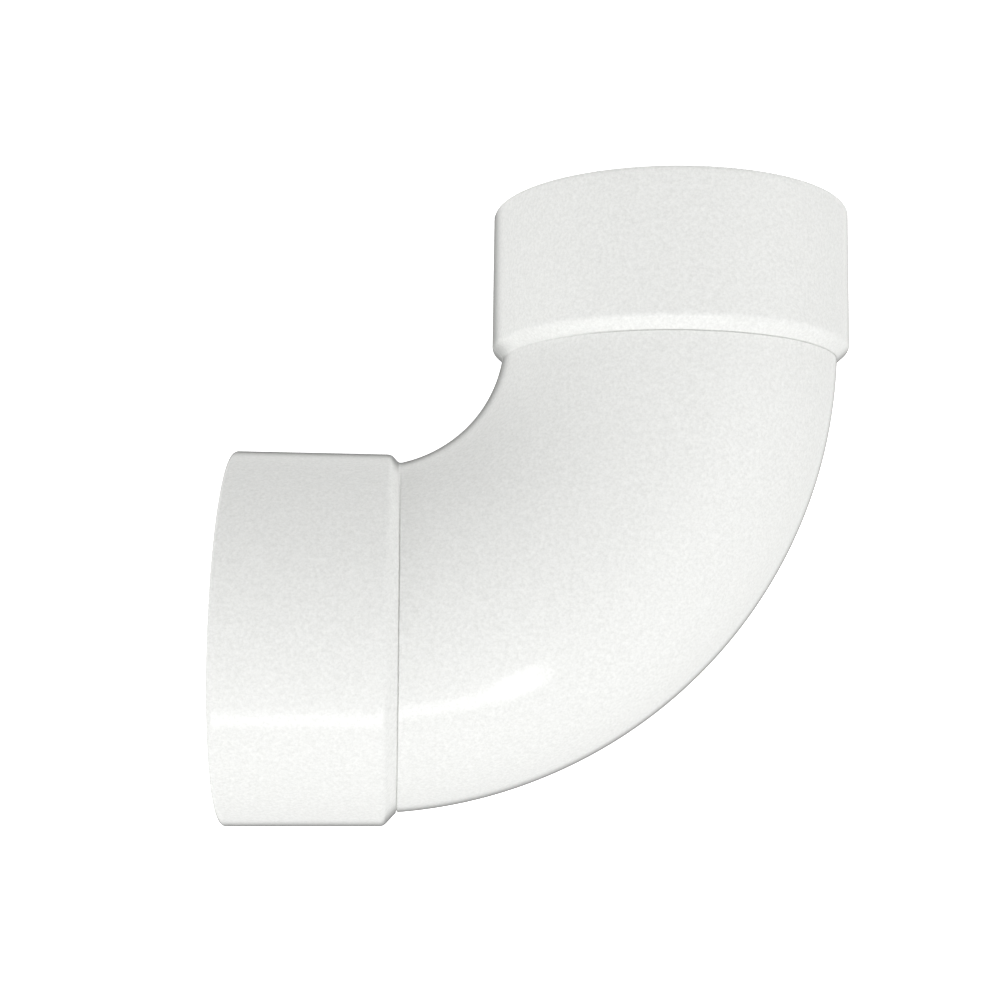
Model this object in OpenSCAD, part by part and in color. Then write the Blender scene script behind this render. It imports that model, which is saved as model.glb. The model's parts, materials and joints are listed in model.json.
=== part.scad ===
// 4 inch socket by socket 90 degree sweep elbow in white PVC, lying on its side.
// The inlet axis is Y and the outlet axis is parallel to X; both lie in the plane z = 0.
// The origin is the centre of the inlet's pipe stop, where the end of the pipe seats.

/* [Sockets] */
// Bore of each socket, a glue clearance over the pipe's outside
socket_bore = 107.3; // [106:0.1:109]
// Depth from the mouth to the pipe stop
socket_depth = 44.5; // [38:0.5:60]
// Wall of the sleeve round each socket
hub_wall = 3.85; // [3.5:0.05:6]
// Width of the lead-in chamfer inside each mouth
lead_in = 1.2; // [0.5:0.1:1.5]
// Rounding of the outer edge of each mouth
mouth_round = 1.6; // [0.5:0.1:1.8]

/* [Bend] */
// Outside diameter of the curved tube
bend_od = 107.5; // [104:0.1:108]
// Wall of the curved tube
bend_wall = 3.5; // [3:0.1:5]
// Radius of the curve along the tube's centre line
bend_radius = 96; // [95:0.5:110]

/* [Layout] */
// Distance from the corner where the two axes meet to each pipe stop
pipe_stop = 93; // [92:0.5:95]
// Distance from that corner to the crease where the inlet hub's shoulder meets the tube
inlet_shoulder = 89.5; // [84:0.5:90]
// Distance from that corner to the crease of the outlet hub's shoulder
outlet_shoulder = 85.5; // [84:0.5:90]
// Length of plain tube that belongs to each hub below its shoulder
collar = 2; // [2:0.5:4]

/* [Shoulders] */
// Radius of the rounding where a sleeve turns in to its shoulder
shoulder_round = 2.5; // [1:0.5:4]
// Slope of the shoulder where it meets the tube, measured from the hub's axis
shoulder_slope = 47; // [45:1:60]

/* [Hidden] */
$fn = 180;

bore_r = socket_bore / 2;
hub_r = bore_r + hub_wall;
bend_r = bend_od / 2;
waterway_r = bend_r - bend_wall;
mouth = pipe_stop + socket_depth;
reach = 2 * (bend_radius + hub_r);
// How far a sleeve's foot is let into the tube's wall, so that the two join in a clean crease
sunk = bend_wall / 2;
arc_steps = 8;

function arc(centre, radius, from, to) =
    [for (i = [0:arc_steps]) let (a = from + (to - from) * i / arc_steps)
        centre + radius * [cos(a), sin(a)]];

// Section of a sleeve as [radius, distance from the corner]: shoulder, outside, mouth and socket
function sleeve_section(crease) =
    let (slope_top_r = hub_r - shoulder_round * (1 - cos(shoulder_slope)),
         slope_top = crease + (slope_top_r - bend_r) / tan(shoulder_slope),
         foot = crease - sunk / tan(shoulder_slope),
         round_centre = [hub_r - shoulder_round, slope_top + shoulder_round * sin(shoulder_slope)])
    concat(
        [[0, foot], [bend_r - sunk, foot]],
        arc(round_centre, shoulder_round, -shoulder_slope, 0),
        arc([hub_r - mouth_round, mouth - mouth_round], mouth_round, 0, 90),
        [[bore_r + lead_in, mouth], [bore_r, mouth - lead_in], [bore_r, pipe_stop], [0, pipe_stop]]);

// Quarter ring that follows the centre line of the bend, between the two pipe axes
module quarter_ring(r)
    translate([-bend_radius, bend_radius, 0])
        rotate([0, 0, -90])
            rotate_extrude(angle = 90)
                translate([bend_radius, 0]) circle(r);

// Everything past the inlet hub's lower face, and past the outlet hub's
module inlet_side() translate([-reach, inlet_shoulder - collar, -reach]) cube(2 * reach);
module outlet_side() translate([collar - outlet_shoulder - 2 * reach, -reach, -reach]) cube(2 * reach);

// Turns a shape that stands on Z at the corner into line with a pipe axis
module along_inlet() rotate([-90, 0, 0]) children();
module along_outlet() rotate([0, -90, 0]) children();

// Moves the corner of the axes away, so that the inlet's pipe stop is at the origin
module from_inlet_stop() translate([0, -pipe_stop, 0]) children();

module sleeve(crease) rotate_extrude() polygon(sleeve_section(crease));

// The tube's end up to the pipe stop, which the hub carries inside its sleeve
module tube_end() cylinder(r = hub_r, h = pipe_stop);

module inlet_hub()
    color("whitesmoke")
    from_inlet_stop()
    difference() {
        union() {
            along_inlet() sleeve(inlet_shoulder);
            intersection() {
                quarter_ring(bend_r);
                inlet_side();
                along_inlet() tube_end();
            }
        }
        quarter_ring(waterway_r);
    }

module bend()
    color("white")
    from_inlet_stop()
    difference() {
        quarter_ring(bend_r);
        quarter_ring(waterway_r);
        inlet_side();
        outlet_side();
    }

module outlet_hub()
    color("whitesmoke")
    from_inlet_stop()
    difference() {
        union() {
            along_outlet() sleeve(outlet_shoulder);
            intersection() {
                quarter_ring(bend_r);
                outlet_side();
                along_outlet() tube_end();
            }
        }
        quarter_ring(waterway_r);
    }

inlet_hub();
bend();
outlet_hub();
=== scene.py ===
"""A white PVC sweep elbow, 4 inch, socket by socket, lying on its side on a pale floor.

It is one moulding, shown as its two hubs and the bend between them. All three are swept from the
same columns: a column is one angle round the tube's section, and it runs the length of the bend
and on up each hub, so the pieces meet point to point.
"""

import json
import math

import bpy
import numpy as np
from mathutils import Euler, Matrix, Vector


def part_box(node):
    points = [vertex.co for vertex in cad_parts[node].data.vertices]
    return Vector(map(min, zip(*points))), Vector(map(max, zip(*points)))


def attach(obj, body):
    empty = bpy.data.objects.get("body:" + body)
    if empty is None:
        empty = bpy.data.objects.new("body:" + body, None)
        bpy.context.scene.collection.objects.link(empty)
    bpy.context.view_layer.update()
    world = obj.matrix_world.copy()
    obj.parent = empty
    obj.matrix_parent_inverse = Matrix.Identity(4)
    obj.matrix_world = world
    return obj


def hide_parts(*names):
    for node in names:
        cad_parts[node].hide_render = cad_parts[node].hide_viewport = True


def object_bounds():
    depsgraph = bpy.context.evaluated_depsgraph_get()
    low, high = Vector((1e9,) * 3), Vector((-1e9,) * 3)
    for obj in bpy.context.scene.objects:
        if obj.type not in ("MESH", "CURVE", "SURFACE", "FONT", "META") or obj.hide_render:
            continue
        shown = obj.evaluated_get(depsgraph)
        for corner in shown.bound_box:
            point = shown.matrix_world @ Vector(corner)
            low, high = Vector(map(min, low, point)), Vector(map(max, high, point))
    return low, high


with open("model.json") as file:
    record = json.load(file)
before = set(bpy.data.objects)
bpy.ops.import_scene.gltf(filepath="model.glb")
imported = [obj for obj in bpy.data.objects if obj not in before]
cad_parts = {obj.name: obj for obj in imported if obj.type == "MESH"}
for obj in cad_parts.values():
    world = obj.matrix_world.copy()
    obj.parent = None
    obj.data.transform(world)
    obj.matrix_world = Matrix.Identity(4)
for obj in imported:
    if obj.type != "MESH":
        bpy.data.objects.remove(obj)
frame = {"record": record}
cad_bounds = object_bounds()

MM = 0.001
MOUNTS = {mount["name"]: mount for mount in frame["record"]["mounts"]}
INLET_LOW, INLET_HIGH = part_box("inlet_hub")
BEND_LOW, BEND_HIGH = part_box("bend")

# The two pipe axes cross at the corner, and heights on each hub are measured from it
CORNER = Vector((0, MOUNTS["outlet_socket"]["pos_m"][1], 0))
PIPE_STOP = -CORNER.y
MOUTH = INLET_HIGH.y - CORNER.y
INLET_SEAM = BEND_HIGH.y - CORNER.y
OUTLET_SEAM = -BEND_LOW.x

# Fine raised line where the two halves of the mould meet, in the plane z = 0. Its columns stand
# clear of it, at its feet and at the edges of its flat top, in half widths from its middle.
FLASH_HEIGHT = 0.07 * MM
FLASH_WIDTH = 0.6 * MM
FLASH_COLUMNS = (-1.6, -1, -0.4, 0.4, 1, 1.6)
FLASH_SLOPE = 0.6 * FLASH_WIDTH / 2

HUB_R = min(INLET_HIGH.z, -INLET_LOW.z) - FLASH_HEIGHT
TUBE_R = min(BEND_HIGH.z, -BEND_LOW.z) - FLASH_HEIGHT
TUBE_WALL = 3.5 * MM
WATERWAY_R = TUBE_R - TUBE_WALL
BORE_R = MOUNTS["inlet_socket"]["dims"]["r_mm"] * MM
SWEEP_R = 96 * MM

# The shoulder: a cone that rounds over into the sleeve. Its foot is cut in sharply round the heel
# and the crown, and blends into the tube at the throat. The higher the focus, the narrower the blend.
COLLAR = 2 * MM
SHOULDER_ROUND = 2.5 * MM
SHOULDER_SLOPE = math.radians(47)
CREASE_CUT = 1.3 * MM
FILLET_HEEL = 0.25 * MM
FILLET_THROAT = 0.9 * MM
THROAT_FOCUS = 8

# The mouth and the socket, which is a touch wider at its mouth than at its stop
MOUTH_ROUND = 1.6 * MM
LEAD_IN = 1.2 * MM
LEAD_IN_ROUND = 0.3 * MM
SOCKET_TAPER = 0.1 * MM
SOCKET_FOOT_ROUND = 0.5 * MM
LEDGE_ROUND = 0.4 * MM

# Witness ring inside the bend, where the mould's two cores meet
CORE_LINE_HEIGHT = 0.05 * MM
CORE_LINE_WIDTH = 0.6 * MM

# How finely the surfaces are cut. The pull is how far a soft corner leans out to its point, and a
# hold is a narrow strip that keeps shading true at a join.
SIDES = 180
SWEEP_STEPS = 96
CORNER_STEPS = 6
CORNER_PULL = 0.6
SETTLE_STEPS = 10
ARC_STEP = math.radians(6)
HOLD = 0.12 * MM
SHARP_ANGLE = math.radians(50)


# ---------------------------------------------------------------- columns and rings

def column_angles():
    """Angles round the section: heel 0, crown 90, throat 180. Closer together at the flash lines."""
    even = np.arange(SIDES) * math.tau / SIDES
    half = FLASH_WIDTH / 2 / TUBE_R
    close = [side + half * column for side in (0, math.pi) for column in FLASH_COLUMNS]
    return np.sort(np.mod(np.concatenate([even, close]), math.tau))


ANGLES = column_angles()


def flash():
    """How proud each column stands for the flash lines."""
    nearest = np.abs(np.mod(ANGLES + math.pi / 2, math.pi) - math.pi / 2) * TUBE_R
    return FLASH_HEIGHT * np.clip((FLASH_WIDTH / 2 - nearest) / FLASH_SLOPE, 0, 1)


FLASH = flash()


def tube_ring(radius, height):
    """The curved tube's skin where it crosses the plane at a height, one point a column."""
    reach = SWEEP_R + radius * np.cos(ANGLES)
    x = np.sqrt(reach ** 2 - (SWEEP_R - height) ** 2) - SWEEP_R
    return np.stack([x, np.zeros_like(x) + height, radius * np.sin(ANGLES)], axis=1)


def round_ring(azimuths, radius, height):
    """A ring about the hub's own axis."""
    return np.stack([radius * np.cos(azimuths), np.zeros_like(azimuths) + height,
                     radius * np.sin(azimuths)], axis=1)


def azimuths_of(ring):
    return np.arctan2(ring[:, 2], ring[:, 0])


def soft_corner(start, corner, end):
    """Rings between start and end that round off the corner, without the two ends."""
    near, far = start + CORNER_PULL * (corner - start), end + CORNER_PULL * (corner - end)
    shares = [step / CORNER_STEPS for step in range(1, CORNER_STEPS)]
    return [(1 - t) ** 3 * start + 3 * (1 - t) ** 2 * t * near + 3 * (1 - t) * t ** 2 * far + t ** 3 * end
            for t in shares]


def rounded_path(corners):
    """Points (radius, height) along straight runs, with a round at each corner between the ends.
    A corner is (radius, height, round)."""
    path = [np.array(corners[0][:2])]
    for before, at, after in zip(corners, corners[1:], corners[2:]):
        point = np.array(at[:2])
        back = np.array(before[:2]) - point
        ahead = np.array(after[:2]) - point
        back, ahead = back / np.hypot(*back), ahead / np.hypot(*ahead)
        half = math.acos(np.clip(back @ ahead, -1, 1)) / 2
        setback = at[2] / math.tan(half)
        centre = point + (back + ahead) / (2 * math.cos(half)) * at[2] / math.sin(half)
        turn = math.copysign(math.pi - 2 * half, ahead[0] * back[1] - ahead[1] * back[0])
        spoke = point + back * setback - centre
        steps = max(2, math.ceil(abs(turn) / ARC_STEP))
        path.append(point + back * (setback + HOLD))
        for step in range(steps + 1):
            c, s = math.cos(turn * step / steps), math.sin(turn * step / steps)
            path.append(centre + [c * spoke[0] - s * spoke[1], s * spoke[0] + c * spoke[1]])
        path.append(point + ahead * (setback + HOLD))
    path.append(np.array(corners[-1][:2]))
    return path


# ---------------------------------------------------------------- the hubs

def shoulder_rings(crease, seam):
    """Outside, from the seam up the tube, through the fillet and on to the top of the cone."""
    slope_top_r = HUB_R - SHOULDER_ROUND * (1 - math.cos(SHOULDER_SLOPE))
    slope_top = crease + (slope_top_r - TUBE_R) / math.tan(SHOULDER_SLOPE)
    heights = np.full_like(ANGLES, crease)
    for _ in range(SETTLE_STEPS):
        ring = tube_ring(TUBE_R, heights)
        heights = slope_top - (slope_top_r - np.hypot(ring[:, 0], ring[:, 2])) / math.tan(SHOULDER_SLOPE)
    skin = TUBE_R + FLASH
    foot = tube_ring(skin, heights)
    azimuths = azimuths_of(foot)
    throat = ((1 - np.cos(ANGLES)) / 2) ** THROAT_FOCUS
    fillet = FILLET_HEEL + (FILLET_THROAT - FILLET_HEEL) * throat
    cone_r = np.hypot(foot[:, 0], foot[:, 2])

    def on_cone(along):
        return round_ring(azimuths, cone_r + along * math.sin(SHOULDER_SLOPE),
                          heights + along * math.cos(SHOULDER_SLOPE))

    start, end = tube_ring(skin, heights - fillet), on_cone(fillet)
    corner = tube_ring(skin - CREASE_CUT * (1 - throat), heights)
    rings = [tube_ring(skin, seam), tube_ring(skin, seam + HOLD),
             tube_ring(skin, heights - fillet - HOLD), start]
    rings += soft_corner(start, corner, end) + [end, on_cone(fillet + HOLD)]
    return rings, azimuths, (slope_top_r, slope_top)


def hub_rings(crease, seam):
    """Every ring of a hub in turn: shoulder, sleeve, mouth, socket, pipe stop and waterway."""
    rings, azimuths, (top_r, top) = shoulder_rings(crease, seam)
    run = (HUB_R - top_r) / math.tan(SHOULDER_SLOPE)
    rim_middle = (HUB_R + BORE_R) / 2
    outside = rounded_path([(top_r, top, 0), (HUB_R, top + run, SHOULDER_ROUND),
                            (HUB_R, MOUTH, MOUTH_ROUND), (rim_middle, MOUTH, 0)])
    rings += [round_ring(azimuths, radius + FLASH, height) for radius, height in outside[1:-1]]

    lip = tube_ring(WATERWAY_R, np.full_like(ANGLES, PIPE_STOP))
    inner = azimuths_of(lip)
    ledge_r = np.hypot(lip[:, 0], lip[:, 2]) + LEDGE_ROUND
    socket = rounded_path([(rim_middle, MOUTH, 0),
                           (BORE_R + LEAD_IN, MOUTH, LEAD_IN_ROUND),
                           (BORE_R + SOCKET_TAPER, MOUTH - LEAD_IN, LEAD_IN_ROUND),
                           (BORE_R - SOCKET_TAPER, PIPE_STOP, SOCKET_FOOT_ROUND),
                           (WATERWAY_R + 3 * LEDGE_ROUND, PIPE_STOP, 0)])
    rings += [round_ring(inner, radius, height) for radius, height in socket]

    start = round_ring(inner, ledge_r, PIPE_STOP)
    end = tube_ring(WATERWAY_R, PIPE_STOP - LEDGE_ROUND)
    rings += [start] + soft_corner(start, lip, end) + [end]
    rings += [tube_ring(WATERWAY_R, PIPE_STOP - LEDGE_ROUND - HOLD),
              tube_ring(WATERWAY_R, seam + HOLD), tube_ring(WATERWAY_R, seam)]
    return rings


# ---------------------------------------------------------------- the bend

def sweep_ring(radius, share):
    """A ring round the bend, a share of the way from the inlet's seam (0) to the outlet's (1)."""
    reach = SWEEP_R + radius * np.cos(ANGLES)
    first = -np.arcsin((SWEEP_R - INLET_SEAM) / reach)
    last = -np.arccos((SWEEP_R - OUTLET_SEAM) / reach)
    turn = first + (last - first) * share
    return np.stack([reach * np.cos(turn) - SWEEP_R, reach * np.sin(turn) + SWEEP_R,
                     radius * np.sin(ANGLES)], axis=1)


def bend_rings():
    """The outside from the inlet to the outlet, and then the inside on the way back."""
    length = SWEEP_R * math.pi / 2
    hold = HOLD / length
    shares = [0, hold, *(step / SWEEP_STEPS for step in range(1, SWEEP_STEPS)), 1 - hold, 1]
    rings = [sweep_ring(TUBE_R + FLASH, share) for share in shares]
    line = CORE_LINE_WIDTH / 2 / length
    witness = {0.5 - 2 * line: 0, 0.5 - line: 0, 0.5: CORE_LINE_HEIGHT, 0.5 + line: 0, 0.5 + 2 * line: 0}
    inside = sorted({**dict.fromkeys(shares, 0), **witness}.items(), reverse=True)
    rings += [sweep_ring(WATERWAY_R - proud, share) for share, proud in inside]
    return rings


# ---------------------------------------------------------------- meshes

def to_inlet(ring):
    return ring + np.array(CORNER)


def to_outlet(ring):
    """The outlet hub is the inlet's mirror image in the plane that halves the bend."""
    return np.stack([-ring[:, 1], -ring[:, 0], ring[:, 2]], axis=1) + np.array(CORNER)


def ring_solid(name, rings):
    """A closed solid through rings of equal count, the last of which joins back to the first."""
    count, sides = len(rings), len(ANGLES)
    points = np.concatenate(rings)
    row = np.repeat(np.arange(count), sides)
    column = np.tile(np.arange(sides), count)
    next_row, next_column = (row + 1) % count, (column + 1) % sides
    faces = np.stack([row * sides + column, row * sides + next_column,
                      next_row * sides + next_column, next_row * sides + column], axis=1)
    a, b, c, d = (points[faces[:, corner]] for corner in range(4))
    if np.einsum("ij,ij->i", a, np.cross(c - a, d - b)).sum() < 0:
        faces = faces[:, ::-1]
    mesh = bpy.data.meshes.new(name)
    mesh.from_pydata(points.tolist(), [], faces.tolist(), shade_flat=False)
    mesh.set_sharp_from_angle(angle=SHARP_ANGLE)
    piece = bpy.data.objects.new(name, mesh)
    bpy.context.scene.collection.objects.link(piece)
    return piece


# ---------------------------------------------------------------- material

def pvc_material():
    """White injection-moulded PVC: semi-gloss, with a fine speckle and a very shallow orange peel."""
    material = bpy.data.materials.new("white_pvc")
    material.use_nodes = True
    nodes, links = material.node_tree.nodes, material.node_tree.links
    shader = nodes["Principled BSDF"]
    shader.inputs["IOR"].default_value = 1.53
    place = nodes.new("ShaderNodeTexCoord")

    mottle = nodes.new("ShaderNodeTexNoise")
    mottle.inputs["Scale"].default_value = 1000
    mottle.inputs["Detail"].default_value = 2
    mottle.inputs["Roughness"].default_value = 0.8
    tint = nodes.new("ShaderNodeMix")
    tint.data_type = "RGBA"
    tint.inputs["A"].default_value = (0.675, 0.681, 0.665, 1)
    tint.inputs["B"].default_value = (0.98, 0.986, 0.973, 1)
    links.new(place.outputs["Object"], mottle.inputs["Vector"])
    links.new(mottle.outputs["Fac"], tint.inputs["Factor"])
    links.new(tint.outputs["Result"], shader.inputs["Base Color"])

    gloss = nodes.new("ShaderNodeMapRange")
    gloss.inputs["To Min"].default_value = 0.12
    gloss.inputs["To Max"].default_value = 0.16
    links.new(mottle.outputs["Fac"], gloss.inputs["Value"])
    links.new(gloss.outputs["Result"], shader.inputs["Roughness"])

    peel = nodes.new("ShaderNodeTexNoise")
    peel.inputs["Scale"].default_value = 420
    peel.inputs["Detail"].default_value = 2
    bump = nodes.new("ShaderNodeBump")
    bump.inputs["Strength"].default_value = 0.25
    bump.inputs["Distance"].default_value = 0.05 * MM
    links.new(place.outputs["Object"], peel.inputs["Vector"])
    links.new(peel.outputs["Fac"], bump.inputs["Height"])
    links.new(bump.outputs["Normal"], shader.inputs["Normal"])
    return material


# ---------------------------------------------------------------- stage, light and camera

# The camera's turn is in degrees
LENS_MM = 52.97
SENSOR_MM = 36
LENS_SHIFT = (-0.04, -0.02)
CAMERA_FROM_CORNER = Vector((-0.08476, 0.00068, 0.46553))
CAMERA_TURN = (6.046, -5.358, 0.63)

FLOOR_SIZE = 12
MIDDLE = (cad_bounds[0] + cad_bounds[1]) / 2
SOFT_BOX = (0.9, 0.9)

# How strongly the surround lights, and how strongly it is mirrored: away from its open side and
# toward it. The mirrored part fades to dark between two downward slopes, where -1 is straight down.
SURROUND_LIGHT = 0.3
SURROUND_MIRRORED = 0.9
OPEN_SIDE_MIRRORED = 1.2
OPEN_SIDE = (0.5, -0.87, 0)
DARK_BELOW = (-0.93, -0.82)


def make_floor():
    mesh = bpy.data.meshes.new("floor")
    half, level = FLOOR_SIZE / 2, cad_bounds[0][2]
    corners = [(-half, -half, level), (half, -half, level), (half, half, level), (-half, half, level)]
    mesh.from_pydata(corners, [], [(0, 1, 2, 3)])
    floor = bpy.data.objects.new("floor", mesh)
    bpy.context.scene.collection.objects.link(floor)
    floor.visible_glossy = False
    floor.visible_diffuse = False
    floor.visible_shadow = False
    material = bpy.data.materials.new("pale_floor")
    material.use_nodes = True
    shader = material.node_tree.nodes["Principled BSDF"]
    shader.inputs["Base Color"].default_value = (0.9, 0.9, 0.9, 1)
    shader.inputs["Roughness"].default_value = 1
    shader.inputs["Specular IOR Level"].default_value = 0
    shader.inputs["Emission Color"].default_value = (1, 1, 1, 1)
    shader.inputs["Emission Strength"].default_value = 0.9
    mesh.materials.append(material)


def make_surround():
    """A white booth that lights evenly from all round. What the plastic mirrors of it is brightest
    toward its open side, and dark straight below, which draws a fine dark line along the edges."""
    world = bpy.data.worlds.new("booth")
    world.use_nodes = True
    nodes, links = world.node_tree.nodes, world.node_tree.links
    background = nodes["Background"]
    background.inputs["Color"].default_value = (1, 1, 0.985, 1)
    way = nodes.new("ShaderNodeTexCoord")
    toward = nodes.new("ShaderNodeVectorMath")
    toward.operation = "DOT_PRODUCT"
    toward.inputs[1].default_value = OPEN_SIDE
    links.new(way.outputs["Generated"], toward.inputs[0])
    pale = nodes.new("ShaderNodeMapRange")
    pale.inputs["To Min"].default_value = SURROUND_MIRRORED
    pale.inputs["To Max"].default_value = OPEN_SIDE_MIRRORED
    links.new(toward.outputs["Value"], pale.inputs["Value"])
    height = nodes.new("ShaderNodeSeparateXYZ")
    links.new(way.outputs["Generated"], height.inputs["Vector"])
    below = nodes.new("ShaderNodeMapRange")
    below.inputs["From Min"].default_value = DARK_BELOW[0]
    below.inputs["From Max"].default_value = DARK_BELOW[1]
    links.new(height.outputs["Z"], below.inputs["Value"])
    links.new(pale.outputs["Result"], below.inputs["To Max"])
    ray = nodes.new("ShaderNodeLightPath")
    mirrored = nodes.new("ShaderNodeMix")
    mirrored.inputs["A"].default_value = SURROUND_LIGHT
    links.new(below.outputs["Result"], mirrored.inputs["B"])
    seen = nodes.new("ShaderNodeMix")
    seen.inputs["B"].default_value = 1.0
    links.new(ray.outputs["Is Glossy Ray"], mirrored.inputs["Factor"])
    links.new(mirrored.outputs["Result"], seen.inputs["A"])
    links.new(ray.outputs["Is Camera Ray"], seen.inputs["Factor"])
    links.new(seen.outputs["Result"], background.inputs["Strength"])
    bpy.context.scene.world = world


def make_light(name, place, aim, size, power, mirrored=False):
    """A soft rectangular lamp at a place, turned to face the aim. All are in metres and watts.
    Only a mirrored lamp shows as a highlight; the others just light the plastic."""
    lamp = bpy.data.lights.new(name, "AREA")
    lamp.shape = "RECTANGLE"
    lamp.size, lamp.size_y = size
    lamp.energy = power
    light = bpy.data.objects.new(name, lamp)
    light.location = place
    light.rotation_euler = (Vector(aim) - Vector(place)).to_track_quat("-Z", "Y").to_euler()
    bpy.context.scene.collection.objects.link(light)
    light.visible_camera = False
    light.visible_glossy = mirrored
    return light


def make_camera():
    """Looks almost straight down on the elbow, from about half a metre above it."""
    lens = bpy.data.cameras.new("camera")
    lens.lens = LENS_MM
    lens.sensor_width = SENSOR_MM
    lens.shift_x, lens.shift_y = LENS_SHIFT
    lens.clip_start = 0.01
    camera = bpy.data.objects.new("camera", lens)
    camera.rotation_euler = Euler([math.radians(turn) for turn in CAMERA_TURN])
    camera.location = CORNER + CAMERA_FROM_CORNER
    bpy.context.scene.collection.objects.link(camera)
    bpy.context.scene.camera = camera


# ---------------------------------------------------------------- the scene

make_camera()
make_floor()
make_surround()
make_light("front", (-0.05, -1.12, 0.56), MIDDLE, SOFT_BOX, 3.2)
make_light("front_left", (-0.70, -0.71, 0.77), MIDDLE, SOFT_BOX, 5.4)
make_light("right", (0.87, -0.06, 0.77), MIDDLE, SOFT_BOX, 6.8)
make_light("low_right", (1.15, -0.06, 0.10), MIDDLE, SOFT_BOX, 1.3)
make_light("low_back", (-0.05, 1.14, 0.10), MIDDLE, SOFT_BOX, 5.1)
make_light("low_left", (-1.25, -0.06, 0.10), MIDDLE, SOFT_BOX, 5.9)
make_light("strip", (-0.036, -0.637, 0.498), (-0.06, -0.10, 0.05), (0.48, 0.10), 0.36, mirrored=True)
make_light("strip_end", (0.200, -0.591, 0.513), (-0.03, -0.10, 0.05), (0.10, 0.20), 0.22, mirrored=True)

pvc = pvc_material()
PIECES = {
    "inlet_hub": [to_inlet(ring) for ring in hub_rings(INLET_SEAM + COLLAR, INLET_SEAM)],
    "bend": [to_inlet(ring) for ring in bend_rings()],
    "outlet_hub": [to_outlet(ring) for ring in hub_rings(OUTLET_SEAM + COLLAR, OUTLET_SEAM)],
}
for node, rings in PIECES.items():
    piece = ring_solid(node + "_moulded", rings)
    piece.data.materials.append(pvc)
    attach(piece, "root")
    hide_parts(node)

bpy.context.scene.view_settings.view_transform = "Standard"
